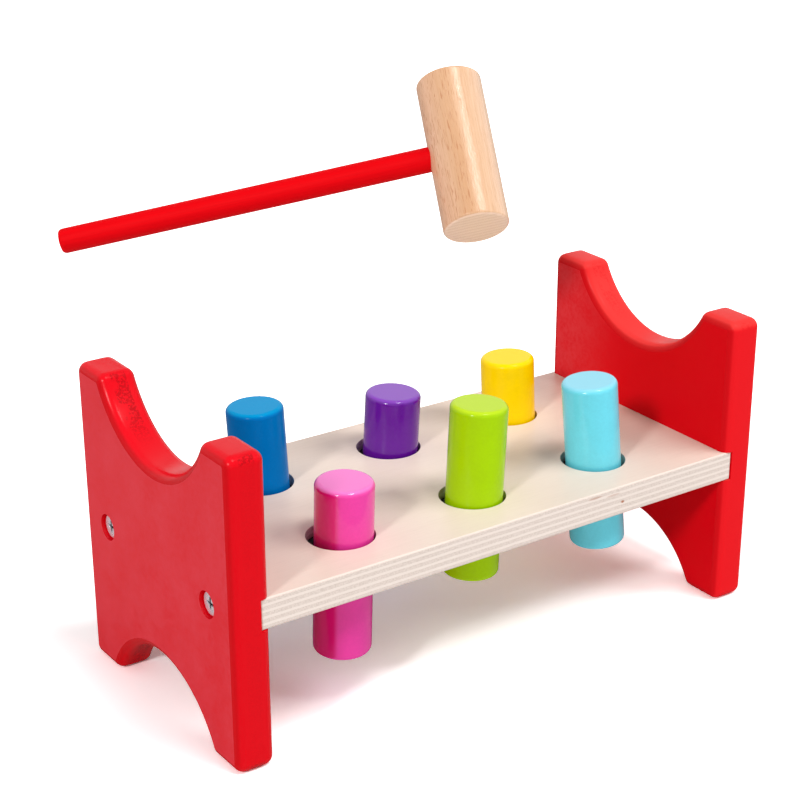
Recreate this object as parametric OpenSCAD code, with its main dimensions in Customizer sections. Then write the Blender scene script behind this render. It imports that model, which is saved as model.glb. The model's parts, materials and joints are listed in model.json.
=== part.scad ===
// Peg pounding bench: a plywood board let in between two end panels, six pegs that rubber rings
// grip in the board's holes, four screws, and a mallet held above the bench.
// The origin lies on the floor under the bench's middle. X runs along the bench, Y from front
// to back and Z up. The bench is the same either way up, so the board lies at half its height.

/* [Bench] */
// Length over both end panels
bench_length = 240; // [224:1:320]
// Width of the end panels, front to back
bench_width = 110.5; // [104:0.5:140]
// Height of the end panels
bench_height = 121; // [105:1:150]

/* [End panels] */
// Thickness of an end panel
panel_thickness = 15; // [13:0.5:20]
// Radius of the notch at the top and of the arch between the feet
cutout_radius = 40; // [34:0.5:44]
// Depth of the notch and of the arch at their middle
cutout_depth = 23; // [16:0.5:30]
// Radius of the round-over along the panels' edges and at all their corners
edge_round = 4; // [2:0.1:5]
// Depth of the groove that holds the board's end
dado_depth = 4; // [2:0.5:6]

/* [Board] */
// Thickness of the board
board_thickness = 12; // [10:0.5:16]
// How far the board's long edges lie back from the panels' edges
board_inset = 0.5; // [0:0.1:3]
// Chamfer that takes the sharpness off the board's edges
board_ease = 0.6; // [0.2:0.1:1]
// Play of the board's end in its groove
dado_play = 0.1; // [0.05:0.05:0.3]
// Distance of the outer holes' middles from the end panels
hole_from_panel = 45.7; // [38:0.1:52]
// Distance of the holes' middles from the board's long edges
hole_from_edge = 26.65; // [20:0.05:28]
// Gap all round between a straight peg and its hole
hole_clearance = 1.9; // [1.8:0.1:2.6]

/* [Pegs] */
// Diameter of a peg
peg_diameter = 22; // [18:0.5:24]
// Length of a peg
peg_length = 69; // [55:1:74]
// Rounding of a peg's ends
peg_round = 2; // [0.5:0.1:4]

/* [Grip rings] */
// Diameter of the round section of a rubber ring
ring_section = 3.2; // [2.8:0.1:3.6]
// Gap between a ring and its peg
ring_play = 0.15; // [0.1:0.05:0.3]
// Gap above and below a ring in its groove
groove_play = 0.1; // [0.05:0.05:0.3]

/* [Screws] */
// Length of a screw
screw_length = 30; // [24:1:34]
// Diameter of a screw's shank
screw_diameter = 4; // [3:0.1:4.5]
// Diameter of a screw's head
head_diameter = 8.6; // [7.5:0.1:9.6]
// Height of the straight rim of a screw's head
head_rim = 0.6; // [0.3:0.1:1]
// Length of a screw's point
screw_point = 4; // [2:0.5:6]
// How deep the screw heads lie under the panel's face
screw_recess = 1.5; // [0.5:0.1:3]
// Diameter of the counterbore round a screw head
counterbore_diameter = 10.3; // [9.8:0.1:12]
// Distance of the screws from the panel's front and back edges
screw_from_edge = 18.25; // [14:0.25:22]
// Gap between a screw and its holes
screw_play = 0.05; // [0.03:0.01:0.15]
// Span of the cross in a screw's head
cross_span = 4.8; // [3:0.1:6]
// Width of the cross's slots
cross_width = 1.1; // [0.6:0.1:1.6]
// Depth of the cross
cross_depth = 1.8; // [0.8:0.1:2.2]

/* [Mallet] */
// Diameter of the mallet's head
mallet_diameter = 26; // [22:0.5:34]
// Length of the mallet's head
mallet_length = 65; // [55:1:75]
// Rounding of the ends of the mallet's head
mallet_round = 1.2; // [0.5:0.1:4]
// Diameter of the handle
handle_diameter = 10; // [8:0.5:12]
// Length of the handle with the part inside the head
handle_length = 169; // [120:1:200]
// Rounding of the handle's free end
handle_round = 2.2; // [0.5:0.1:3]
// Radius of the dome across the handle's free end
handle_crown = 14; // [8:0.5:40]
// Depth of the handle's socket in the head
socket_depth = 18; // [12:0.5:20]
// Gap for glue round the handle in its socket
glue_gap = 0.05; // [0.03:0.01:0.1]
// How far the handle sits above the middle of the head
handle_rise = 0.8; // [-5:0.1:5]
// Place of the head's middle along the bench, from the bench's middle
mallet_x = 41.6; // [20:0.1:70]
// Place of the head's middle behind the bench's middle
mallet_y = 36.8; // [20:0.1:60]
// Height of the head's middle above the panels' tops
mallet_lift = 56.8; // [52:0.1:90]

/* [Hidden] */

// Columns and rows of the holes
column_left = -1;
column_middle = 0;
column_right = 1;
row_front = -1;
row_back = 1;
// How each peg sits: its lean about X and about Y, in degrees
blue_lean = [-1.6, -2.2];
purple_lean = [1.6, 2.5];
yellow_lean = [-1.3, -1.9];
pink_lean = [2.1, 0.5];
lime_lean = [0.5, 2.6];
light_blue_lean = [-2.2, -4.3];
// How each peg sits: its offset in the hole along X and Y, as shares of the hole's clearance,
// and the length that stands above the board, as a share of what the board leaves free
blue_shares = [0.16, -0.1, 0.556];
purple_shares = [0.35, 0, 0.41];
yellow_shares = [0.5, -0.4, 0.45];
pink_shares = [0.6, -0.05, 0.38];
lime_shares = [-0.05, -0.45, 0.66];
light_blue_shares = [0.25, -0.2, 0.59];
// How the mallet is held: its turns about X, Y and Z, in degrees
mallet_turns = [-42, -13.1, -35.3];

// Cuts run past what they cut by this much
overrun = 1;

// The cutout's centre lies this far outside the panel
cutout_offset = cutout_radius - cutout_depth;
// Centre of the rounding beside a cutout, and where that rounding meets the cutout
tip_y = sqrt(pow(cutout_radius + edge_round, 2) - pow(cutout_offset + edge_round, 2));
meet_share = cutout_radius / (cutout_radius + edge_round);
meet_y = tip_y * meet_share;
meet_z = (cutout_offset + edge_round) * meet_share - cutout_offset;

board_middle = bench_height / 2;
board_length = bench_length - 2 * (panel_thickness - dado_depth);
board_width = bench_width - 2 * board_inset;
// Distance of the outer columns and of both rows of holes from the bench's middle
column_x = bench_length / 2 - panel_thickness - hole_from_panel;
row_y = board_width / 2 - hole_from_edge;
hole_radius = peg_diameter / 2 + hole_clearance;
ring_radius = peg_diameter / 2 + ring_play + ring_section / 2;
groove_radius = ring_radius + ring_section / 2 + hole_clearance;

shank_radius = screw_diameter / 2;
head_radius = head_diameter / 2;
head_cone = head_radius - shank_radius;
head_face_x = bench_length / 2 - screw_recess;
screw_y = bench_width / 2 - screw_from_edge;

mallet_radius = mallet_diameter / 2;

// What lies outside a rounded corner, with the corner's centre at the origin
module corner_waste(radius) {
    difference() {
        square(radius + overrun);
        circle(r = radius, $fn = 64);
    }
}

// A rectangle centred on the origin with rounded corners
module rounded_rectangle(width, height, radius) {
    difference() {
        square([width, height], center = true);
        for (x = [0, 1], y = [0, 1])
            mirror([x, 0]) mirror([0, y])
                translate([width / 2 - radius, height / 2 - radius]) corner_waste(radius);
    }
}

// A slab in the YZ plane, thicker than a panel, of the given outline
module slab() {
    rotate([90, 0, 90])
        translate([0, 0, -panel_thickness / 2 - overrun])
            linear_extrude(panel_thickness + 2 * overrun) children();
}

// A panel's outline with the notch, the arch and the roundings beside them
module panel_outline() {
    difference() {
        translate([-bench_width / 2, 0]) square([bench_width, bench_height]);
        for (end = [0, 1])
            translate([0, end * bench_height])
                mirror([0, end]) {
                    translate([0, -cutout_offset]) circle(r = cutout_radius, $fn = 180);
                    for (side = [0, 1]) mirror([side, 0]) tip_outline();
                }
    }
}

// What the rounding beside a cutout takes away from the outline
module tip_outline() {
    difference() {
        polygon([[0, -overrun], [tip_y, -overrun], [tip_y, edge_round],
            [meet_y, meet_z], [0, meet_z]]);
        translate([tip_y, edge_round]) circle(r = edge_round, $fn = 64);
    }
}

// The round tool that rounds a cutout's two rims over; its axis is X
module rim_tool() {
    rotate([0, 90, 0])
        rotate_extrude($fn = 180)
            difference() {
                translate([0, -panel_thickness / 2 - overrun])
                    square([cutout_radius + edge_round, panel_thickness + 2 * overrun]);
                translate([cutout_radius + edge_round, 0])
                    rounded_rectangle(2 * edge_round, panel_thickness, edge_round);
            }
}

// A pin as thick as a panel is, with round ends; its axis is X
module round_pin() {
    rotate([0, 90, 0])
        rotate_extrude($fn = 64)
            intersection() {
                rounded_rectangle(2 * edge_round, panel_thickness, edge_round);
                translate([0, -panel_thickness]) square([edge_round, 2 * panel_thickness]);
            }
}

// What a rounded outer corner takes away
module corner_cut() {
    from_middle = bench_width / 2 - edge_round;
    difference() {
        slab() translate([from_middle, -overrun]) square(edge_round + overrun);
        translate([0, from_middle, edge_round]) round_pin();
    }
}

// What is cut from a panel at its lower end: the arch's rims and the outer corners
module end_waste() {
    translate([0, 0, -cutout_offset]) rim_tool();
    for (side = [0, 1]) mirror([0, side, 0]) corner_cut();
}

// A panel of the full outline with its straight edges rounded over
module panel_blank() {
    intersection() {
        slab() panel_outline();
        linear_extrude(bench_height)
            rounded_rectangle(panel_thickness, bench_width, edge_round);
        translate([0, bench_width / 2, bench_height / 2])
            rotate([90, 0, 0])
                linear_extrude(bench_width)
                    rounded_rectangle(panel_thickness, bench_height, edge_round);
    }
}

// Places things at the two screws on the left; local Z runs from the head's face into the wood
module at_screw(row) {
    translate([-head_face_x, row * screw_y, board_middle])
        rotate([0, 90, 0]) children();
}

// Hole for a screw: counterbore, countersink and shank
module screw_hole() {
    play_radius = shank_radius + screw_play;
    translate([0, 0, -screw_recess - overrun])
        cylinder(d = counterbore_diameter, h = screw_recess + overrun + head_rim, $fn = 64);
    translate([0, 0, head_rim])
        cylinder(r1 = head_radius + screw_play, r2 = play_radius, h = head_cone, $fn = 64);
    cylinder(r = play_radius, h = screw_length + overrun, $fn = 48);
}

module left_panel() {
    difference() {
        translate([-bench_length / 2 + panel_thickness / 2, 0, 0])
            difference() {
                panel_blank();
                end_waste();
                translate([0, 0, bench_height]) mirror([0, 0, 1]) end_waste();
            }
        translate([-board_length / 2, -bench_width / 2 - overrun,
                board_middle - (board_thickness + dado_play) / 2])
            cube([dado_depth + overrun, bench_width + 2 * overrun, board_thickness + dado_play]);
        for (row = [row_front, row_back]) at_screw(row) screw_hole();
    }
}

module left_end_panel() {
    color("crimson") left_panel();
}

module right_end_panel() {
    color("crimson") mirror([1, 0, 0]) left_panel();
}

// Outline of a rectangle with its corners chamfered
module chamfered_rectangle(width, height, chamfer) {
    x = width / 2;
    y = height / 2;
    polygon([[-x + chamfer, -y], [x - chamfer, -y], [x, -y + chamfer], [x, y - chamfer],
        [x - chamfer, y], [-x + chamfer, y], [-x, y - chamfer], [-x, -y + chamfer]]);
}

module board_blank() {
    intersection() {
        translate([0, 0, -board_thickness / 2])
            linear_extrude(board_thickness)
                chamfered_rectangle(board_length, board_width, board_ease);
        rotate([90, 0, 90])
            translate([0, 0, -board_length / 2])
                linear_extrude(board_length)
                    chamfered_rectangle(board_width, board_thickness, board_ease);
    }
}

module peg_hole() {
    cylinder(r = hole_radius, h = board_thickness + 2 * overrun, center = true, $fn = 96);
    cylinder(r = groove_radius, h = ring_section + 2 * groove_play, center = true, $fn = 96);
}

module peg_board() {
    color("wheat")
        difference() {
            translate([0, 0, board_middle]) board_blank();
            for (column = [column_left, column_middle, column_right], row = [row_front, row_back])
                translate([column * column_x, row * row_y, board_middle])
                    peg_hole();
            for (side = [0, 1], row = [row_front, row_back])
                mirror([side, 0, 0]) at_screw(row) screw_hole();
        }
}

// Half outline, from the axis out, of a rod on its own end with both ends rounded
module rod_outline(diameter, length, radius) {
    intersection() {
        translate([0, length / 2]) rounded_rectangle(diameter, length, radius);
        translate([0, -overrun]) square([diameter, length + 2 * overrun]);
    }
}

// Places things where a peg's axis crosses the middle of the board
module at_peg(column, row, shares) {
    translate([column * column_x + shares[0] * hole_clearance,
            row * row_y + shares[1] * hole_clearance, board_middle])
        children();
}

module peg(column, row, lean, shares) {
    above = board_thickness / 2 + shares[2] * (peg_length - board_thickness);
    at_peg(column, row, shares)
        rotate([lean[0], lean[1], 0])
            translate([0, 0, above - peg_length])
                rotate_extrude($fn = 96) rod_outline(peg_diameter, peg_length, peg_round);
}

module ring(column, row, shares) {
    color("dimgray")
        at_peg(column, row, shares)
            rotate_extrude($fn = 96)
                translate([ring_radius, 0]) circle(d = ring_section, $fn = 32);
}

module blue_peg() {
    color("dodgerblue") peg(column_left, row_back, blue_lean, blue_shares);
}

module purple_peg() {
    color("rebeccapurple") peg(column_middle, row_back, purple_lean, purple_shares);
}

module yellow_peg() {
    color("gold") peg(column_right, row_back, yellow_lean, yellow_shares);
}

module pink_peg() {
    color("hotpink") peg(column_left, row_front, pink_lean, pink_shares);
}

module lime_peg() {
    color("yellowgreen") peg(column_middle, row_front, lime_lean, lime_shares);
}

module light_blue_peg() {
    color("skyblue") peg(column_right, row_front, light_blue_lean, light_blue_shares);
}

module blue_peg_ring() {
    ring(column_left, row_back, blue_shares);
}

module purple_peg_ring() {
    ring(column_middle, row_back, purple_shares);
}

module yellow_peg_ring() {
    ring(column_right, row_back, yellow_shares);
}

module pink_peg_ring() {
    ring(column_left, row_front, pink_shares);
}

module lime_peg_ring() {
    ring(column_middle, row_front, lime_shares);
}

module light_blue_peg_ring() {
    ring(column_right, row_front, light_blue_shares);
}

// The cross cut in a screw's head, narrowing towards its bottom
module head_cross() {
    translate([0, 0, -overrun])
        intersection() {
            union() {
                linear_extrude(cross_depth + overrun)
                    square([cross_span, cross_width], center = true);
                linear_extrude(cross_depth + overrun)
                    square([cross_width, cross_span], center = true);
            }
            cylinder(r1 = cross_span / 2 + overrun, r2 = cross_width,
                h = cross_depth + overrun, $fn = 48);
        }
}

module screw(row) {
    color("silver")
        at_screw(row)
            difference() {
                rotate_extrude($fn = 64)
                    polygon([[0, 0], [head_radius, 0], [head_radius, head_rim],
                        [shank_radius, head_rim + head_cone],
                        [shank_radius, screw_length - screw_point], [0, screw_length]]);
                head_cross();
            }
}

module left_front_screw() {
    screw(row_front);
}

module left_back_screw() {
    screw(row_back);
}

module right_front_screw() {
    mirror([1, 0, 0]) screw(row_front);
}

module right_back_screw() {
    mirror([1, 0, 0]) screw(row_back);
}

// Places things in the mallet's own frame: the head's middle, its axis Z, the handle along -X
module in_mallet() {
    translate([mallet_x, mallet_y, bench_height + mallet_lift])
        rotate(mallet_turns) children();
}

module mallet_head() {
    color("burlywood")
        in_mallet()
            difference() {
                translate([0, 0, -mallet_length / 2])
                    rotate_extrude($fn = 96)
                        rod_outline(mallet_diameter, mallet_length, mallet_round);
                translate([-mallet_radius - overrun, 0, handle_rise])
                    rotate([0, 90, 0])
                        cylinder(d = handle_diameter + 2 * glue_gap, h = socket_depth + overrun,
                            $fn = 64);
            }
}

// The handle stands on the bottom of its socket and runs out along -X to a domed end
module mallet_handle() {
    color("crimson")
        in_mallet()
            translate([socket_depth - mallet_radius, 0, handle_rise])
                rotate([0, -90, 0])
                    rotate_extrude($fn = 64)
                        intersection() {
                            translate([0, -handle_round])
                                rod_outline(handle_diameter, handle_length + handle_round,
                                    handle_round);
                            translate([0, handle_length - handle_crown])
                                union() {
                                    circle(r = handle_crown, $fn = 96);
                                    translate([0, -handle_length])
                                        square([handle_diameter, handle_length]);
                                }
                            square([handle_diameter, handle_length + overrun]);
                        }
}

left_end_panel();
right_end_panel();
peg_board();
blue_peg();
purple_peg();
yellow_peg();
pink_peg();
lime_peg();
light_blue_peg();
blue_peg_ring();
purple_peg_ring();
yellow_peg_ring();
pink_peg_ring();
lime_peg_ring();
light_blue_peg_ring();
left_front_screw();
left_back_screw();
right_front_screw();
right_back_screw();
mallet_head();
mallet_handle();
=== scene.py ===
# Peg pounding bench: light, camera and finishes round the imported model.
# All lengths are in metres. X runs along the bench, Y to the back, Z up from the floor.
import json
import math

import bpy
import numpy as np
from mathutils import Matrix, Vector

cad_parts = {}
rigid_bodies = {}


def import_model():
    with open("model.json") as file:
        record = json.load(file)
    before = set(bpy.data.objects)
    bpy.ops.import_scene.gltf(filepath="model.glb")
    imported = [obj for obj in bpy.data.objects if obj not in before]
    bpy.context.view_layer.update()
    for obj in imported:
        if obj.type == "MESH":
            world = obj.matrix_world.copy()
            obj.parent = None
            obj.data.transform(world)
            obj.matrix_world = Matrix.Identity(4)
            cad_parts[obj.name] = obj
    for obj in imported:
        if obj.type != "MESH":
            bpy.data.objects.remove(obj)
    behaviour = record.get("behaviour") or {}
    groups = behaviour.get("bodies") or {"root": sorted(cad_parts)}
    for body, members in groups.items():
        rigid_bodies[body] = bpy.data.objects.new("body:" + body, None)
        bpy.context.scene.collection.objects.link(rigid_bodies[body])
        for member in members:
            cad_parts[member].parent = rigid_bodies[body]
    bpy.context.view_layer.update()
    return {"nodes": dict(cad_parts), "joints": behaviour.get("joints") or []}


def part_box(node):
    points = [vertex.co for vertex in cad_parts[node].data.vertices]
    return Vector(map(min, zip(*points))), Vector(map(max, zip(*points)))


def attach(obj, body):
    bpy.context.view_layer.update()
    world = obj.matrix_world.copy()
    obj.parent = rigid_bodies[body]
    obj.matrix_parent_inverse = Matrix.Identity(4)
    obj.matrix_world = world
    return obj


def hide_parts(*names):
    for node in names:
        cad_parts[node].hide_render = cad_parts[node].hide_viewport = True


for thing in list(bpy.data.objects):
    bpy.data.objects.remove(thing)
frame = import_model()
nodes = frame["nodes"]
print("frame loaded:", len(nodes), "nodes")
scene = bpy.context.scene
scene.view_settings.view_transform = "Standard"
mm = 0.001


def addObject(name, data):
    made = bpy.data.objects.new(name, data)
    scene.collection.objects.link(made)
    return made


# Camera

cameraLook = {
    "place": (-0.40002, -0.56029, 0.37657),
    "yaw": 36.195,       # degrees from +Y towards +X
    "pitch": 23.653,     # degrees down
    "roll": 0.485,       # degrees
    "lens": 87.32,       # mm, as the sensor
    "sensor": 36.0,
    "shift": (-0.0625, 0.0625),
    "clipStart": 0.01,
}


def placeCamera(look):
    yaw, pitch, roll = (math.radians(look[key]) for key in ("yaw", "pitch", "roll"))
    forward = Vector((math.sin(yaw) * math.cos(pitch), math.cos(yaw) * math.cos(pitch), -math.sin(pitch)))
    levelRight = Vector((math.cos(yaw), -math.sin(yaw), 0))
    levelUp = levelRight.cross(forward)
    right = levelRight * math.cos(roll) + levelUp * math.sin(roll)
    up = levelUp * math.cos(roll) - levelRight * math.sin(roll)
    data = bpy.data.cameras.new("camera")
    data.lens = look["lens"]
    data.sensor_width = look["sensor"]
    data.shift_x, data.shift_y = look["shift"]
    data.clip_start = look["clipStart"]
    camera = addObject("camera", data)
    turn = Matrix((right, up, -forward)).transposed().to_4x4()
    camera.matrix_world = Matrix.Translation(look["place"]) @ turn
    scene.camera = camera


placeCamera(cameraLook)
print("camera placed")

# Small helpers for node trees


def fill(tree, target, value):
    # a socket is linked, a fixed value is set
    if isinstance(value, bpy.types.NodeSocket):
        tree.links.new(value, target)
    else:
        target.default_value = value


def addNode(tree, kind, inputs=None, **settings):
    made = tree.nodes.new("ShaderNode" + kind)
    for name, value in settings.items():
        setattr(made, name, value)
    for name, value in (inputs or {}).items():
        fill(tree, made.inputs[name], value)
    return made


def operate(tree, kind, operation, values):
    # a Math or VectorMath node, its inputs filled in their order; returns its outputs
    made = addNode(tree, kind, operation=operation)
    for target, value in zip(made.inputs, values):
        fill(tree, target, value)
    return made.outputs


def sums(tree, operation, *values):
    return operate(tree, "Math", operation, values)[0]


def plus(tree, first, second):
    return sums(tree, "ADD", first, second)


def less(tree, first, second):
    return sums(tree, "SUBTRACT", first, second)


def times(tree, product, *others):
    for other in others:
        product = sums(tree, "MULTIPLY", product, other)
    return product


def weighed(tree, first, firstShare, second, secondShare):
    # two values added up, each times its share
    return plus(tree, times(tree, first, firstShare), times(tree, second, secondShare))


def absolute(tree, value):
    return sums(tree, "ABSOLUTE", value)


def rise(tree, value, low, high, start=0.0, end=1.0):
    # goes smoothly from start at low to end at high
    made = addNode(tree, "MapRange", {"Value": value, "From Min": low, "From Max": high,
                                      "To Min": start, "To Max": end}, interpolation_type="SMOOTHSTEP")
    return made.outputs["Result"]


def scaled(tree, vector, factors):
    return operate(tree, "VectorMath", "MULTIPLY", (vector, factors))[0]


def split(tree, vector):
    # the outputs X, Y and Z
    return addNode(tree, "SeparateXYZ", {"Vector": vector}).outputs


def stretched(tree, vector, length, width):
    # the length along X and the width across it become 1
    along = sums(tree, "DIVIDE", 1.0, length)
    across = sums(tree, "DIVIDE", 1.0, width)
    factors = addNode(tree, "CombineXYZ", {"X": along, "Y": across, "Z": across}).outputs[0]
    return scaled(tree, vector, factors)


def mapped(tree, vector, settings, kind="POINT"):
    return addNode(tree, "Mapping", {"Vector": vector, **settings}, vector_type=kind).outputs[0]


def noise(tree, vector, scale=1.0, detail=2.0, roughness=0.5):
    made = addNode(tree, "TexNoise", {"Vector": vector, "Scale": scale, "Detail": detail,
                                      "Roughness": roughness})
    return made.outputs["Fac"]


def mixColours(tree, share, first, second):
    made = addNode(tree, "Mix", data_type="RGBA")
    fill(tree, made.inputs[0], share)
    fill(tree, made.inputs[6], first)
    fill(tree, made.inputs[7], second)
    return made.outputs[2]


def tint(tree, base, colour, mask, share):
    # the base with the colour laid over it, as far as the mask times the share says
    return mixColours(tree, times(tree, mask, share), base, colour)


def newGroup(name, sizes, results):
    # a group that takes a Vector and some sizes and puts out some values
    group = bpy.data.node_groups.new(name, "ShaderNodeTree")
    group.interface.new_socket("Vector", in_out="INPUT", socket_type="NodeSocketVector")
    for label in sizes:
        group.interface.new_socket(label, in_out="INPUT", socket_type="NodeSocketFloat")
    for label in results:
        group.interface.new_socket(label, in_out="OUTPUT", socket_type="NodeSocketFloat")
    return group, group.nodes.new("NodeGroupInput").outputs, group.nodes.new("NodeGroupOutput").inputs


def useGroup(tree, group, vector, sizes):
    made = tree.nodes.new("ShaderNodeGroup")
    made.node_tree = group
    for name, value in {"Vector": vector, **sizes}.items():
        fill(tree, made.inputs[name], value)
    return made.outputs


def newMaterial(name, specular, metallic=0.0):
    # returns the material, its tree and the coordinates
    material = bpy.data.materials.new(name)
    material.use_nodes = True
    tree = material.node_tree
    shader = tree.nodes["Principled BSDF"]
    shader.inputs["Specular IOR Level"].default_value = specular
    shader.inputs["Metallic"].default_value = metallic
    return material, tree, tree.nodes.new("ShaderNodeTexCoord").outputs


def finishMaterial(tree, colour, roughness, height, depth):
    # height runs from 0 to 1, depth is what 1 means in metres
    shader = tree.nodes["Principled BSDF"]
    fill(tree, shader.inputs["Base Color"], colour)
    fill(tree, shader.inputs["Roughness"], roughness)
    bump = addNode(tree, "Bump", {"Height": height, "Strength": 1.0, "Distance": depth})
    fill(tree, shader.inputs["Normal"], bump.outputs["Normal"])


def paint(name, material):
    nodes[name].material_slots[0].material = material


# Effects that several finishes share. An entry named Edges holds where a mask starts and where it is full

effectLook = {
    "peelShare": 0.45,            # of the fine peel in the paint's height
    "swellShare": 0.55,           # of the broad swell in it
    "swellScale": 0.2,            # the swell's scale in peel scales
    "cloudShare": 0.5,            # of the cloud in the paint's mottle
    "speckShare": 0.5,
    "speckScale": 9.0,            # the speck's scale in cloud scales
    "mottleEdges": (0.36, 0.64),
    "streakEdges": (0.3, 0.7),
    "poreFactors": (6.0, 2.6, 2.6),    # how much finer the pores are than the streaks, along X, Y and Z
    "poreEdges": (0.56, 0.72),
    "fleckSoftness": 0.06,        # from a fleck's Level to where it is full
}


def makePaintSkin(look):
    # brushed and sprayed paint: a fine orange-peel height, and a soft cloudy mottle
    group, given, out = newGroup("paintSkin", ("Peel", "Cloud"), ("Height", "Mottle"))
    vector = given["Vector"]
    peel = noise(group, vector, given["Peel"], roughness=0.6)
    swell = noise(group, vector, times(group, given["Peel"], look["swellScale"]), detail=1.0)
    fill(group, out["Height"], weighed(group, peel, look["peelShare"], swell, look["swellShare"]))
    cloud = noise(group, vector, given["Cloud"], detail=3.0, roughness=0.65)
    speckScale = times(group, given["Cloud"], look["speckScale"])
    speck = noise(group, vector, speckScale, detail=3.0, roughness=0.7)
    both = weighed(group, cloud, look["cloudShare"], speck, look["speckShare"])
    fill(group, out["Mottle"], rise(group, both, *look["mottleEdges"]))
    return group


def makeWoodGrain(look):
    # streaks along X, Length long and Width wide, and fine pores between them
    group, given, out = newGroup("woodGrain", ("Length", "Width"), ("Streak", "Pore"))
    drawn = stretched(group, given["Vector"], given["Length"], given["Width"])
    streaks = noise(group, drawn, detail=3.0, roughness=0.6)
    fill(group, out["Streak"], rise(group, streaks, *look["streakEdges"]))
    pores = noise(group, scaled(group, drawn, look["poreFactors"]), detail=1.0)
    fill(group, out["Pore"], rise(group, pores, *look["poreEdges"]))
    return group


def makeFlecks(look):
    # thin dashes along X: the peaks of a stretched noise, from Level up
    group, given, out = newGroup("flecks", ("Length", "Width", "Level"), ("Fleck",))
    drawn = stretched(group, given["Vector"], given["Length"], given["Width"])
    peaks = noise(group, drawn, detail=1.0, roughness=0.4)
    full = plus(group, given["Level"], look["fleckSoftness"])
    fill(group, out["Fleck"], rise(group, peaks, given["Level"], full))
    return group


paintSkin = makePaintSkin(effectLook)
woodGrain = makeWoodGrain(effectLook)
flecks = makeFlecks(effectLook)

# End panels: the outline and the round-overs as one swept surface

panelSizes = {
    "cutoutRadius": 40 * mm,
    "cutoutDepth": 23 * mm,
    "cornerRound": 4 * mm,
    "bandHalf": 3.4 * mm,     # half the width of the flat band between the two round-overs
    "bandStep": 0.05 * mm,    # how far the cutter went in beside it, over the width of stepRun
    "stepRun": 0.5 * mm,
    "roundEnd": 80,           # degrees of a round-over; under 90 leaves a crisp rim round the face
    # a screw's hole: radius and depth below the panel's outer face, in mm
    "holeProfile": ((5.15, -1), (5.15, 2.1), (4.35, 2.1), (2.05, 4.4), (2.05, 16)),
    "groovePlay": 0.05 * mm,
    "overrun": 1 * mm,        # how far the groove's cutter reaches past the panel
    "sharpAngle": 9,          # degrees; edges that turn more than this stay crisp
    # how many steps each curve takes
    "cutoutSteps": 48,
    "tipSteps": 12,
    "cornerSteps": 16,
    "roundSteps": 15,
    "holeSteps": 96,
}


def arc(centre, radius, start, end, count, outwards):
    # points on a circle between two angles, and the way each one faces
    angles = np.linspace(start, end, count + 1)
    ways = np.stack([np.cos(angles), np.sin(angles)], axis=1)
    return np.array(centre) + radius * ways, ways * outwards


def closeLoop(quarter):
    # a quarter from the middle of the top to the back corner, and its three mirror images
    return np.concatenate([quarter[::-1], (quarter * (-1, 1))[1:],
                           quarter[::-1] * (-1, -1), (quarter * (1, -1))[1:]])


def panelOutline(look, halfWidth, halfHeight):
    # Y and Z round the panel, and the way each point faces. A quarter runs along the cutout's circle, round
    # its tip, along the straight top and round the corner. The straight sides lie between the quarters
    radius, bend = look["cutoutRadius"], look["cornerRound"]
    offset = radius - look["cutoutDepth"]
    tipY = math.sqrt((radius + bend) ** 2 - (offset + bend) ** 2)
    meet = math.atan2(-offset - bend, tipY)
    top = halfHeight - bend
    curves = [arc((0, halfHeight + offset), radius, -math.pi / 2, meet, look["cutoutSteps"], -1),
              arc((tipY, top), bend, meet + math.pi, math.pi / 2, look["tipSteps"], 1),
              arc((halfWidth - bend, top), bend, math.pi / 2, 0, look["cornerSteps"], 1)]
    # the cutout's last point is the tip's first
    return [closeLoop(np.concatenate([cutout[:-1], tip, corner])) for cutout, tip, corner in zip(*curves)]


def panelProfile(look, thickness):
    # across the edge from face to face: X, and the depth below the outline. The middle is flat, and from
    # a small step on each side a quarter ellipse falls to the face: X goes by the angle's sine, the depth
    # by 1 minus its cosine
    end = math.radians(look["roundEnd"])
    angles = np.linspace(0, end, look["roundSteps"] + 1)
    start = look["bandHalf"] + look["stepRun"]
    x = start + (thickness / 2 - start) * np.sin(angles) / math.sin(end)
    depth = look["bandStep"] + (look["cornerRound"] - look["bandStep"]) * (1 - np.cos(angles))
    x = np.concatenate([[look["bandHalf"]], x])
    depth = np.concatenate([[0], depth])
    return np.concatenate([-x[::-1], x]), np.concatenate([depth[::-1], depth])


def meshObject(name, points, faces):
    mesh = bpy.data.meshes.new(name)
    mesh.from_pydata(points.tolist(), [], faces)
    return addObject(name, mesh)


def tubeObject(name, grid, flipped=False):
    # a closed tube from a grid of points, rows round it and columns along it; flipped turns its faces over
    rows, columns = grid.shape[:2]
    index = np.arange(rows * columns).reshape(rows, columns)
    after = np.roll(index, -1, axis=0)
    sides = np.stack([index[:, :-1], after[:, :-1], after[:, 1:], index[:, 1:]], axis=-1)
    faces = sides.reshape(-1, 4).tolist() + [index[::-1, 0].tolist(), index[:, -1].tolist()]
    if flipped:
        faces = [face[::-1] for face in faces]
    return meshObject(name, grid.reshape(-1, 3), faces)


def lathe(name, profile, centre, way, count):
    # a solid turned about X from radii and distances in mm: x is the centre's plus way times the
    # distance, y and z are the centre's plus the radius times the angle's cosine and sine
    radii, distances = np.array(profile).T * mm
    angles = np.linspace(0, 2 * math.pi, count, endpoint=False)
    spin = np.stack([np.cos(angles), np.sin(angles)], axis=1)
    grid = np.empty((count, len(radii), 3))
    grid[:, :, 0] = centre[0] + way * distances
    grid[:, :, 1:] = np.array(centre[1:]) + radii[None, :, None] * spin[:, None, :]
    return tubeObject(name, grid, flipped=way < 0)


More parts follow.
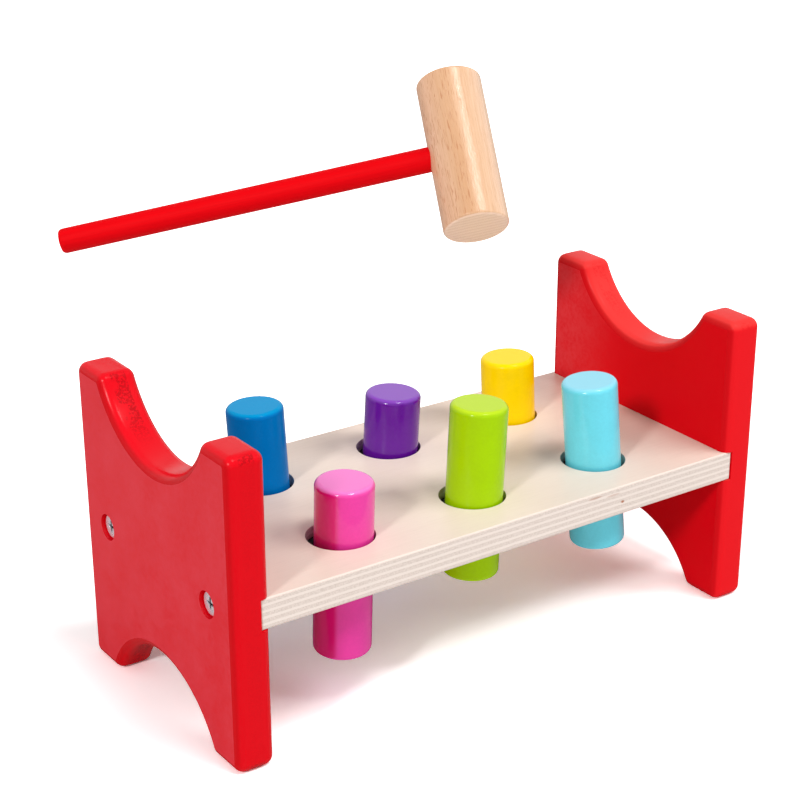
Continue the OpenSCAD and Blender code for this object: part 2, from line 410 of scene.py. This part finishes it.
def blockObject(name, low, high):
    # a box; each corner is picked from the two corners by the bits of its number
    bits = (np.arange(8)[:, None] >> np.arange(3)) & 1
    corners = np.where(bits, high, low)
    faces = [(0, 2, 3, 1), (4, 5, 7, 6), (0, 1, 5, 4), (2, 6, 7, 3), (0, 4, 6, 2), (1, 3, 7, 5)]
    return meshObject(name, corners, faces)


def cutAway(piece, cutters):
    # takes the cutters out of the piece one by one, then keeps the resulting mesh alone
    for cutter in cutters:
        made = piece.modifiers.new(cutter.name, "BOOLEAN")
        made.operation = "DIFFERENCE"
        made.solver = "EXACT"
        made.object = cutter
    bpy.context.view_layer.update()
    shaped = piece.evaluated_get(bpy.context.evaluated_depsgraph_get())
    mesh = bpy.data.meshes.new_from_object(shaped)
    piece.modifiers.clear()
    piece.data = mesh
    for cutter in cutters:
        bpy.data.objects.remove(cutter)


def panelCutters(side, look, low, high):
    # the groove for the board's end, open towards the other panel, and the screws' holes
    boardLow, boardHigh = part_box("peg_board")
    past, play = look["overrun"], look["groovePlay"]
    grooveLow = np.array([boardLow[0], low[1] - past, boardLow[2] - play])
    grooveHigh = np.array([boardHigh[0], high[1] + past, boardHigh[2] + play])
    if side == "left":
        grooveHigh[0] = high[0] + past
        outer, way = low[0], 1
    else:
        grooveLow[0] = low[0] - past
        outer, way = high[0], -1
    cutters = [blockObject(side + "Groove", grooveLow, grooveHigh)]
    for row in ("front", "back"):
        screwLow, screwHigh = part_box(side + "_" + row + "_screw")
        centre = (outer, (screwLow[1] + screwHigh[1]) / 2, (screwLow[2] + screwHigh[2]) / 2)
        cutters.append(lathe(side + row + "Hole", look["holeProfile"], centre, way, look["holeSteps"]))
    return cutters


def panelPiece(side, look):
    node = side + "_end_panel"
    low, high = (np.array(corner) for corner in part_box(node))
    outline, ways = panelOutline(look, (high[1] - low[1]) / 2, (high[2] - low[2]) / 2)
    x, depth = panelProfile(look, high[0] - low[0])
    grid = np.empty((len(outline), len(x), 3))
    grid[:, :, 0] = x
    grid[:, :, 1:] = outline[:, None, :] - ways[:, None, :] * depth[None, :, None]
    piece = tubeObject(side + "Panel", grid + (low + high) / 2)
    cutAway(piece, panelCutters(side, look, low, high))
    piece.data.shade_smooth()
    piece.data.set_sharp_from_angle(angle=math.radians(look["sharpAngle"]))
    piece.data.materials.clear()
    piece.data.materials.append(panelMaterial(side, panelLook))
    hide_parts(node)
    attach(piece, "bench")
    print(side, "panel shaped:", len(piece.data.polygons), "faces")


# Red paint on the end panels

panelLook = {
    "red": (0.68, 0.0003, 0.006, 1),
    # the edges' paint, upright and where it faces up; the right panel's is a little paler. Painted light
    # makes the edges that face up lighter, and a painted sheen makes the right panel's paler
    "edgeRed": {"left": (0.68, 0.0003, 0.006, 1), "right": (0.76, 0.01, 0.015, 1)},
    "upperRed": {"left": (0.76, 0.002, 0.01, 1), "right": (0.84, 0.045, 0.042, 1)},
    # painted reflection: the outer sides' pale, hazy red stands in for the sheen they mirror
    "paleRed": (0.70, 0.033, 0.049, 1),         # the outer side's cloud
    "innerRed": (0.66, 0.002, 0.006, 1),        # the inner side's cloud
    # painted light: towards the back the inner sides turn paler and hazier, lifting the shade there
    "innerBackRed": (0.72, 0.034, 0.042, 1),    # the same towards the back
    "deepRed": (0.50, 0.0, 0.003, 1),
    "pitRed": (0.46, 0.0, 0.004, 1),
    "specular": {"left": 0.12, "right": 0.03},
    "roughness": (0.3, 0.42),
    "edgeRoughness": 0.24,           # the round-overs shine more than the rolled faces
    "skin": {"Peel": 800.0, "Cloud": 60.0},
    "cloudiness": (0.6, 0.4),        # how much the mottle moves the cloud's share, and its least
    "peelDepth": 0.02 * mm,
    "edgePeel": 0.9,                 # what the finer peel on the edges adds, as a share of crustDepth
    "edgePeelScale": 1300.0,
    "crustDepth": 0.03 * mm,
    "crustSize": 0.85 * mm,
    "pitDepth": 0.33,                # as a share of crustDepth
    "uprightShare": 0.15,            # how much of the crust the upright edges keep
    "crustShare": {"left": 0.9, "right": 0.22},
    "patchScale": 130.0,
    "patchEdges": (0.34, 0.46),
    "pitEdges": (0.46, 0.53),
    "rimShare": 0.6,
    # distances that start and end a mask: from the panel's middle, and towards the back
    "crustBand": (3.2 * mm, 2.72 * mm),
    "innerBack": (5 * mm, 50 * mm),
    # parts of the normal that start and end a mask, along X or Z
    "crustSlope": (0.12, 0.3),
    "crustLevel": (0.97, 0.75),
    "rimStart": (0.6, 0.85),
    "rimEnd": (0.998, 0.985),
    "outwards": (-0.5, 0.5),
    "upwards": (0.1, 0.7),
    "onFace": (0.992, 0.999),
    "glossyEdge": (0.99, 0.97),
    "peelEdge": (0.99, 0.9),
}


def panelMaterial(side, look):
    low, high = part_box(side + "_end_panel")
    material, tree, place = newMaterial(side + "PanelRed", look["specular"][side])
    skin = useGroup(tree, paintSkin, place["Object"], look["skin"])
    normal = split(tree, place["Normal"])
    spot = split(tree, place["Object"])
    facing = absolute(tree, normal["X"])
    outward = times(tree, normal["X"], -1.0 if side == "left" else 1.0)
    level = absolute(tree, normal["Z"])
    # crust: paint over the rough end grain of the bare edges, where they slope
    band = rise(tree, absolute(tree, less(tree, spot["X"], (low[0] + high[0]) / 2)), *look["crustBand"])
    steep = times(tree, rise(tree, level, *look["crustSlope"], look["uprightShare"], 1.0),
                  rise(tree, level, *look["crustLevel"]))
    patches = noise(tree, place["Object"], look["patchScale"], roughness=0.6)
    crusty = times(tree, band, steep, rise(tree, patches, *look["patchEdges"]))
    pits = noise(tree, place["Object"], 1 / look["crustSize"], detail=3.0, roughness=0.7)
    pitShare = times(tree, rise(tree, pits, *look["pitEdges"]), look["crustShare"][side])
    pitted = times(tree, crusty, pitShare)
    # painted shade: a darker red where each round-over starts, standing in for the dark that the round-over
    # mirrors there
    rim = times(tree, rise(tree, facing, *look["rimStart"]), rise(tree, facing, *look["rimEnd"]))
    # colour: a cloudy red on the flat faces, with a painted sheen that makes the outer sides paler, plain on
    # the edges, darker in the pits, and a painted shade along the rims
    # painted light: the inner sides are paler towards the back
    paintedBackLight = rise(tree, spot["Y"], *look["innerBack"])
    inner = mixColours(tree, paintedBackLight, look["innerRed"], look["innerBackRed"])
    # painted reflection: the outer sides get the pale, hazy red of a mirrored sheen, the inner sides the
    # deeper red
    paintedSheenSides = mixColours(tree, rise(tree, outward, *look["outwards"]), inner, look["paleRed"])
    cloudShare = sums(tree, "MULTIPLY_ADD", skin["Mottle"], *look["cloudiness"])
    cloudy = mixColours(tree, cloudShare, look["red"], paintedSheenSides)
    # painted light: edges that face up get the lighter red
    litFromAbove = rise(tree, normal["Z"], *look["upwards"])
    edge = mixColours(tree, litFromAbove, look["edgeRed"][side], look["upperRed"][side])
    colour = mixColours(tree, rise(tree, facing, *look["onFace"]), edge, cloudy)
    # painted shade along the rims
    colour = tint(tree, colour, look["deepRed"], rim, look["rimShare"])
    colour = mixColours(tree, pitted, colour, look["pitRed"])
    satin = rise(tree, skin["Mottle"], 0.0, 1.0, *look["roughness"])
    roughness = rise(tree, facing, *look["glossyEdge"], satin, look["edgeRoughness"])
    height = weighed(tree, skin["Height"], look["peelDepth"] / look["crustDepth"], pitted, -look["pitDepth"])
    fine = noise(tree, place["Object"], look["edgePeelScale"], roughness=0.6)
    finePeel = times(tree, fine, rise(tree, facing, *look["peelEdge"], 0.0, look["edgePeel"]))
    finishMaterial(tree, colour, roughness, plus(tree, height, finePeel), look["crustDepth"])
    return material


for side in ("left", "right"):
    panelPiece(side, panelSizes)
print("panels painted")

# Birch plywood board

boardLook = {
    "veneer": (0.86, 0.725, 0.625, 1),
    "veneerDark": (0.79, 0.645, 0.535, 1),
    "longGrain": (0.81, 0.71, 0.645, 1),
    "endGrain": (0.77, 0.665, 0.60, 1),
    "endGrainDark": (0.52, 0.42, 0.36, 1),
    "markBrown": (0.42, 0.17, 0.09, 1),
    "specular": 0.4,
    "roughness": 0.36,
    "pitch": 2.45 * mm,         # from one dark ply to the next
    "darkShare": 0.306,         # half a dark ply's thickness as a share of the pitch
    "blurShare": 0.045,
    "wobble": 0.5 * mm,
    "wobbleFactors": (60, 60, 200),
    "faceGrain": {"Length": 40 * mm, "Width": 0.9 * mm},
    "coreGrain": {"Length": 14 * mm, "Width": 0.55 * mm},
    "cloudFactors": (9, 28, 28),
    "cloudEdges": (0.35, 0.65),
    "cloudShare": 0.3,
    "streakShare": 0.2,
    "poreShare": 0.08,
    "onEdge": (0.9, 0.5),       # the normal's Z where the faces' veneer turns into the edges'
    "granule": 0.42 * mm,
    "granuleEdges": (0.42, 0.68),
    "granuleShare": 0.5,
    "coreShare": 0.3,
    # brown marks in the front edge: X and Z from the board's middle, half length and half height, share
    "marks": ((52.3 * mm, -0.6 * mm, 1.1 * mm, 0.75 * mm, 1.0),
              (38.5 * mm, 4.4 * mm, 4.5 * mm, 0.6 * mm, 0.5),
              (47.5 * mm, 3.4 * mm, 4.5 * mm, 0.5 * mm, 0.35)),
    "markDepth": 1 * mm,
    "markEdges": (1.25, 0.6),
    "markRagged": 0.5,
    "streakHeight": 0.35,
    "coreHeight": -0.8,
    "grainDepth": 0.035 * mm,
}


def addMarks(tree, colour, local, spot, frontY, look):
    # ovals with ragged rims, only in the wood just behind the front edge
    atFront = rise(tree, spot["Y"], frontY + look["markDepth"], frontY + look["markDepth"] / 2)
    ragged = times(tree, noise(tree, local, 1 / look["granule"]), look["markRagged"])
    for markX, markZ, halfLength, halfHeight, share in look["marks"]:
        along = sums(tree, "DIVIDE", less(tree, spot["X"], markX), halfLength)
        upwards = sums(tree, "DIVIDE", less(tree, spot["Z"], markZ), halfHeight)
        fromMark = addNode(tree, "CombineXYZ", {"X": along, "Y": upwards}).outputs[0]
        distance = operate(tree, "VectorMath", "LENGTH", [fromMark])["Value"]
        reach = plus(tree, distance, ragged)
        mark = times(tree, rise(tree, reach, *look["markEdges"], 0.0, share), atFront)
        colour = mixColours(tree, mark, colour, look["markBrown"])
    return colour


def boardMaterial(look):
    low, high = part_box("peg_board")
    centre = (Vector(low) + Vector(high)) / 2
    material, tree, place = newMaterial("birchPlywood", look["specular"])
    local = mapped(tree, place["Object"], {"Location": -centre})
    spot = split(tree, local)
    # plies: the height above the board's middle, a little wavy, counted in pitches
    wander = noise(tree, scaled(tree, local, look["wobbleFactors"]), detail=4.0, roughness=0.6)
    wave = times(tree, less(tree, wander, 0.5), look["wobble"])
    count = sums(tree, "DIVIDE", plus(tree, spot["Z"], wave), look["pitch"])
    away = absolute(tree, less(tree, count, sums(tree, "ROUND", count)))
    dark = rise(tree, away, look["darkShare"] + look["blurShare"], look["darkShare"] - look["blurShare"])
    # light plies and the two faces: grain along X
    face = useGroup(tree, woodGrain, local, look["faceGrain"])
    clouds = noise(tree, scaled(tree, local, look["cloudFactors"]), detail=3.0)
    cloud = rise(tree, clouds, *look["cloudEdges"])
    light = tint(tree, look["veneer"], look["veneerDark"], cloud, look["cloudShare"])
    light = tint(tree, light, look["veneerDark"], face["Streak"], look["streakShare"])
    light = tint(tree, light, look["endGrainDark"], face["Pore"], look["poreShare"])
    level = absolute(tree, split(tree, place["Normal"])["Z"])
    light = mixColours(tree, rise(tree, level, *look["onEdge"]), light, look["longGrain"])
    # dark plies: grain along Y, so their ends show in the front edge
    turned = mapped(tree, local, {"Rotation": (0, 0, math.pi / 2)})
    core = useGroup(tree, woodGrain, turned, look["coreGrain"])
    dots = noise(tree, local, 1 / look["granule"], roughness=0.7)
    granules = rise(tree, dots, *look["granuleEdges"])
    cross = tint(tree, look["endGrain"], look["endGrainDark"], core["Streak"], look["coreShare"])
    cross = tint(tree, cross, look["endGrainDark"], granules, look["granuleShare"])
    colour = addMarks(tree, mixColours(tree, dark, light, cross), local, spot, low[1] - centre.y, look)
    darkStreak = times(tree, core["Streak"], dark)
    height = weighed(tree, face["Streak"], look["streakHeight"], darkStreak, look["coreHeight"])
    finishMaterial(tree, colour, look["roughness"], height, look["grainDepth"])
    return material


paint("peg_board", boardMaterial(boardLook))
print("board varnished")

# Pegs

pegLook = {
    # each paint: its colour, its lighter colour on the end faces (end grain, and painted light where the
    # tops face the lamps), and how much it shines
    "paints": {
        "blue": ((0.0, 0.16, 0.49, 1), (0.0, 0.30, 0.62, 1), 0.04),
        "purple": ((0.125, 0.005, 0.31, 1), (0.23, 0.05, 0.49, 1), 0.36),
        "yellow": ((1.0, 0.68, 0.0, 1), (1.0, 0.72, 0.0, 1), 0.12),
        "pink": ((0.82, 0.045, 0.355, 1), (0.92, 0.19, 0.595, 1), 0.5),
        "lime": ((0.37, 0.63, 0.0, 1), (0.52, 0.74, 0.01, 1), 0.16),
        "light_blue": ((0.15, 0.68, 0.82, 1), (0.27, 0.70, 0.86, 1), 0.4),
    },
    "mottleTone": 0.88,                  # the mottle's brightness as a share of the paint's
    "mottleShare": 0.5,
    "onEnd": (0.35, 0.97),               # the normal's Z where the end grain starts and is full
    # painted shade and red bounce light on the pink peg: the side towards the left panel, darker and redder,
    # its colour and its share
    "deeperPeg": "pink",
    "deeperSide": (-0.96, -0.27, 0.0),
    "deeperEdges": (0.82, 0.93),
    "deeperColour": (0.68, 0.0, 0.14, 1),
    "deeperShare": 0.85,
    "skin": {"Peel": 700.0, "Cloud": 110.0},
    "roughness": (0.1, 0.17),
    "peelDepth": 0.01 * mm,
}


def pegMaterial(name, look):
    colour, endLitColour, shine = look["paints"][name]
    mottled = tuple(look["mottleTone"] * value for value in colour[:3]) + (1,)
    material, tree, place = newMaterial(name.replace("_", "") + "Paint", shine)
    skin = useGroup(tree, paintSkin, place["Object"], look["skin"])
    body = tint(tree, colour, mottled, skin["Mottle"], look["mottleShare"])
    # painted shade: the pink peg's side towards the left panel is darkened and reddened, as the panel's
    # shadow and red bounce light
    if name == look["deeperPeg"]:
        turned = operate(tree, "VectorMath", "DOT_PRODUCT", (place["Normal"], look["deeperSide"]))["Value"]
        paintedShade = rise(tree, turned, *look["deeperEdges"], 0.0, look["deeperShare"])
        body = mixColours(tree, paintedShade, body, look["deeperColour"])
    # painted light: the end faces take the lighter end colour, over their end grain
    onEnd = rise(tree, absolute(tree, split(tree, place["Normal"])["Z"]), *look["onEnd"])
    body = mixColours(tree, onEnd, body, endLitColour)
    roughness = rise(tree, skin["Mottle"], 0.0, 1.0, *look["roughness"])
    finishMaterial(tree, body, roughness, skin["Height"], look["peelDepth"])
    return material


for name in pegLook["paints"]:
    paint(name + "_peg", pegMaterial(name, pegLook))
print("pegs painted")

# Rubber rings

ringLook = {
    "black": (0.01, 0.009, 0.009, 1),
    "grey": (0.03, 0.028, 0.027, 1),
    "specular": 0.2,
    "roughness": 0.6,
    "dustScale": 900.0,
    "dustEdges": (0.45, 0.75),
    "dustDepth": 0.02 * mm,
}


def ringMaterial(look):
    material, tree, place = newMaterial("gripRubber", look["specular"])
    specks = noise(tree, place["Object"], look["dustScale"], detail=3.0)
    dust = rise(tree, specks, *look["dustEdges"])
    colour = mixColours(tree, dust, look["black"], look["grey"])
    finishMaterial(tree, colour, look["roughness"], dust, look["dustDepth"])
    return material


rubber = ringMaterial(ringLook)
for name in pegLook["paints"]:
    paint(name + "_peg_ring", rubber)

# Zinc screws

screwLook = {
    "bright": (0.92, 0.92, 0.97, 1),
    "dull": (0.70, 0.70, 0.76, 1),
    "recessed": (0.10, 0.10, 0.11, 1),
    "specular": 0.5,
    "metallic": 0.6,
    "cloudScale": 700.0,
    "dullEdges": (0.4, 0.62),
    "cloudEdges": (0.35, 0.65),
    "roughness": (0.2, 0.4),
    "cloudDepth": 0.02 * mm,
    # painted shade: the cross recess turns dark below these depths
    "recessStart": 0.15 * mm,      # how far below the head's face the cross gets dark
    "recessFull": 0.5 * mm,
}


def screwMaterial(look):
    material, tree, place = newMaterial("zincPlating", look["specular"], look["metallic"])
    cloud = noise(tree, place["Object"], look["cloudScale"], detail=4.0, roughness=0.6)
    plated = mixColours(tree, rise(tree, cloud, *look["dullEdges"]), look["bright"], look["dull"])
    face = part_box("right_front_screw")[1][0]
    fromMiddle = absolute(tree, split(tree, place["Object"])["X"])
    # painted shade in the cross recess
    recessShadeShare = rise(tree, fromMiddle, face - look["recessStart"], face - look["recessFull"])
    colour = mixColours(tree, recessShadeShare, plated, look["recessed"])
    roughness = rise(tree, cloud, *look["cloudEdges"], *look["roughness"])
    finishMaterial(tree, colour, roughness, cloud, look["cloudDepth"])
    return material


zinc = screwMaterial(screwLook)
for name in nodes:
    if name.endswith("_screw"):
        paint(name, zinc)
print("rings and screws done")

# Mallet: the wood's own frame is worked out from the joint's axis and the handle's mesh


def malletFrame():
    # X along the head towards its lower end, Z towards the handle's free end
    strike = next(joint for joint in frame["joints"] if joint["name"] == "mallet_strike")
    along = Vector(strike["axis"]).normalized()
    mesh = nodes["mallet_handle"].data
    points = np.empty(len(mesh.vertices) * 3)
    mesh.vertices.foreach_get("co", points)
    points = points.reshape(-1, 3)
    out = Vector(np.linalg.svd(points - points.mean(axis=0), full_matrices=False)[2][0])
    if out.x > 0:
        out = -out
    out = (out - along * out.dot(along)).normalized()
    low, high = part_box("mallet_head")
    turn = Matrix((along, out.cross(along), out)).transposed()
    return (Vector(low) + Vector(high)) / 2, turn.to_euler("XYZ")


malletPlace, malletTurn = malletFrame()


def inMallet(tree, place):
    # the point in the mallet's own frame, from the head's middle
    return mapped(tree, place["Object"], {"Location": malletPlace, "Rotation": malletTurn}, "TEXTURE")


headLook = {
    "peach": (0.77, 0.49, 0.305, 1),
    "tan": (0.62, 0.32, 0.155, 1),
    "pink": (0.80, 0.485, 0.315, 1),
    "pale": (0.93, 0.65, 0.465, 1),
    "fleck": (0.50, 0.20, 0.08, 1),
    # painted light: the lower end face's pale colour
    "end": (1.0, 0.765, 0.605, 1),
    "specular": 0.4,
    "roughness": 0.2,
    "grain": {"Length": 24 * mm, "Width": 0.5 * mm},
    "grainShare": 0.45,
    # year rings: pitch, bend in radians, and the band along Z where they show, with its middle and reach
    "ringPitch": 2.3 * mm,
    "ringBend": 5.0,
    "bendFactors": (10, 60, 60),
    "ringEdges": (0.3, 1.0),
    "ringMiddle": 1 * mm,
    "ringReach": (10 * mm, 3 * mm),
    "ringShares": (0.05, 0.55),
    # bands along Z, towards the handle: tan heartwood, pink sapwood, and a pale far side, which is painted
    # light
    "heartStart": (-4 * mm, 0.0),
    "heartEnd": (8 * mm, 4 * mm),
    "heartShare": 0.5,
    "pinkStart": (2 * mm, 9 * mm),
    "pinkShare": 0.8,
    "paleStart": (-6.5 * mm, -12.5 * mm),
    "paleShare": 0.8,
    # the lower end's face: paler, painted light where it faces down towards the floor, with the rings as
    # thin lines
    "endStart": (31.9 * mm, 32.45 * mm),
    "endShare": 0.95,
    "endRingEdges": (0.5, 1.0),
    "endRingShare": 0.2,
    # flecks: fewer on the pale side, and none on the lower end
    "flecks": {"Length": 4.5 * mm, "Width": 0.33 * mm, "Level": 0.6},
    "fleckStart": (-5 * mm, 1 * mm),
    "fleckShares": (0.25, 1.0),
    "sideStart": (32.4 * mm, 31.8 * mm),
    "sideShare": 0.7,
    # heights as shares of the depth
    "streakHeight": 0.4,
    "poreHeight": -0.5,
    "speckleHeight": 0.9,
    "speckleFactors": (900, 2200, 2200),
    "grainDepth": 0.06 * mm,
}


def headMaterial(look):
    material, tree, place = newMaterial("turnedBeech", look["specular"])
    local = inMallet(tree, place)
    spot = split(tree, local)
    grain = useGroup(tree, woodGrain, local, look["grain"])
    # year rings lie in sheets across Y, a little bent, so the sides show them wide and the ends as lines
    bend = noise(tree, scaled(tree, local, look["bendFactors"]))
    ringCount = weighed(tree, spot["Y"], 2 * math.pi / look["ringPitch"], bend, look["ringBend"])
    rings = sums(tree, "MULTIPLY_ADD", sums(tree, "SINE", ringCount), 0.5, 0.5)
    fromBand = absolute(tree, plus(tree, spot["Z"], -look["ringMiddle"]))
    ringsShown = rise(tree, fromBand, *look["ringReach"], *look["ringShares"])
    wood = tint(tree, look["peach"], look["tan"], rise(tree, rings, *look["ringEdges"]), ringsShown)
    heart = times(tree, rise(tree, spot["Z"], *look["heartStart"]), rise(tree, spot["Z"], *look["heartEnd"]))
    wood = tint(tree, wood, look["tan"], heart, look["heartShare"])
    wood = tint(tree, wood, look["pink"], rise(tree, spot["Z"], *look["pinkStart"]), look["pinkShare"])
    # painted light: the far side is paler
    pale = rise(tree, spot["Z"], *look["paleStart"], 0.0, look["paleShare"])
    wood = mixColours(tree, pale, wood, look["pale"])
    wood = tint(tree, wood, look["tan"], grain["Streak"], look["grainShare"])
    # painted light: the lower end face is paler
    atEnd = rise(tree, spot["X"], *look["endStart"], 0.0, look["endShare"])
    wood = mixColours(tree, atEnd, wood, look["end"])
    endRings = rise(tree, rings, *look["endRingEdges"])
    wood = tint(tree, wood, look["tan"], endRings, times(tree, atEnd, look["endRingShare"]))
    fleck = useGroup(tree, flecks, local, look["flecks"])["Fleck"]
    dense = rise(tree, spot["Z"], *look["fleckStart"], *look["fleckShares"])
    onSide = rise(tree, spot["X"], *look["sideStart"], 0.0, look["sideShare"])
    wood = tint(tree, wood, look["fleck"], times(tree, fleck, dense), onSide)
    height = weighed(tree, grain["Streak"], look["streakHeight"], grain["Pore"], look["poreHeight"])
    speckle = noise(tree, scaled(tree, local, look["speckleFactors"]), detail=1.0)
    height = plus(tree, height, times(tree, speckle, look["speckleHeight"]))
    finishMaterial(tree, wood, look["roughness"], height, look["grainDepth"])
    return material


handleLook = {
    "red": (0.76, 0.0005, 0.004, 1),
    "deepRed": (0.62, 0.0, 0.003, 1),
    "specular": 0.05,
    "roughness": 0.55,
    "grain": {"Length": 30 * mm, "Width": 0.7 * mm},
    "grainShare": 0.4,
    "skin": {"Peel": 900.0, "Cloud": 90.0},
    "streakHeight": 0.6,
    "skinHeight": 0.4,
    "paintDepth": 0.05 * mm,
}


def handleMaterial(look):
    material, tree, place = newMaterial("handleRed", look["specular"])
    # the grain runs along the handle, which is the mallet's Z
    alongHandle = mapped(tree, inMallet(tree, place), {"Rotation": (0, math.pi / 2, 0)})
    grain = useGroup(tree, woodGrain, alongHandle, look["grain"])
    skin = useGroup(tree, paintSkin, place["Object"], look["skin"])
    colour = tint(tree, look["red"], look["deepRed"], grain["Streak"], look["grainShare"])
    height = weighed(tree, grain["Streak"], look["streakHeight"], skin["Height"], look["skinHeight"])
    finishMaterial(tree, colour, look["roughness"], height, look["paintDepth"])
    return material


paint("mallet_head", headMaterial(headLook))
paint("mallet_handle", handleMaterial(handleLook))
print("mallet done")

# Floor, background and lights

studioLook = {
    "floorHalf": 6.0,
    "floorBounce": (0.82, 0.82, 0.82, 1),
    "floorShown": (1.6, 1.6, 1.6, 1),   # what the camera sees of it, so that a lit floor is white
    "floorMirrored": (0.36, 0.36, 0.36, 1),
    "worldColour": (1, 1, 1, 1),
    "worldShown": 1.0,
    "worldFill": 0.27,
    # each lamp: the way to it, how wide it looks in degrees, what it adds to a white card that faces it,
    # and whether polished surfaces mirror it
    "lamps": {"topLamp": ((0.12, -0.37, 0.92), 15, 0.26, True),
              "leftLamp": ((-0.76, -0.37, 0.53), 8, 0.41, True),
              "rightLamp": ((0.55, -0.45, 0.70), 30, 0.41, False),
              "frontLamp": ((-0.35, -0.93, 0.1), 30, 0.2, False),
              "backLamp": ((-0.65, 0.6, 0.46), 60, 0.14, False)},
}


def seenPlainly(tree):
    # 1 for the camera's and transmitted rays, and 1 for mirrored rays
    path = tree.nodes.new("ShaderNodeLightPath").outputs
    return sums(tree, "MAXIMUM", path["Is Camera Ray"], path["Is Transmission Ray"]), path["Is Glossy Ray"]


def layFloor(look):
    half = look["floorHalf"]
    corners = np.array([(-half, -half, 0), (half, -half, 0), (half, half, 0), (-half, half, 0)])
    floor = meshObject("floor", corners, [(0, 1, 2, 3)])
    material = bpy.data.materials.new("paleFloor")
    material.use_nodes = True
    tree = material.node_tree
    tree.nodes.clear()
    straight, mirrored = seenPlainly(tree)
    colour = mixColours(tree, mirrored, look["floorBounce"], look["floorMirrored"])
    colour = mixColours(tree, straight, colour, look["floorShown"])
    matt = addNode(tree, "BsdfDiffuse", {"Color": colour})
    addNode(tree, "OutputMaterial", {"Surface": matt.outputs[0]})
    floor.data.materials.append(material)


def lightWorld(look):
    world = bpy.data.worlds.new("studio")
    world.use_nodes = True
    tree = world.node_tree
    seen = sums(tree, "MAXIMUM", *seenPlainly(tree))
    strength = rise(tree, seen, 0.0, 1.0, look["worldFill"], look["worldShown"])
    background = tree.nodes["Background"].inputs
    fill(tree, background["Strength"], strength)
    fill(tree, background["Color"], look["worldColour"])
    scene.world = world


def hangLamp(name, towards, width, level, mirrored):
    # a round lamp far away, so that the whole floor is lit alike
    data = bpy.data.lights.new(name, "SUN")
    data.angle = math.radians(width)
    data.energy = level * math.pi
    lamp = addObject(name, data)
    lamp.matrix_world = Vector(towards).to_track_quat("Z", "Y").to_matrix().to_4x4()
    lamp.visible_glossy = mirrored


layFloor(studioLook)
lightWorld(studioLook)
for name, lamp in studioLook["lamps"].items():
    hangLamp(name, *lamp)
print("floor and lights set")
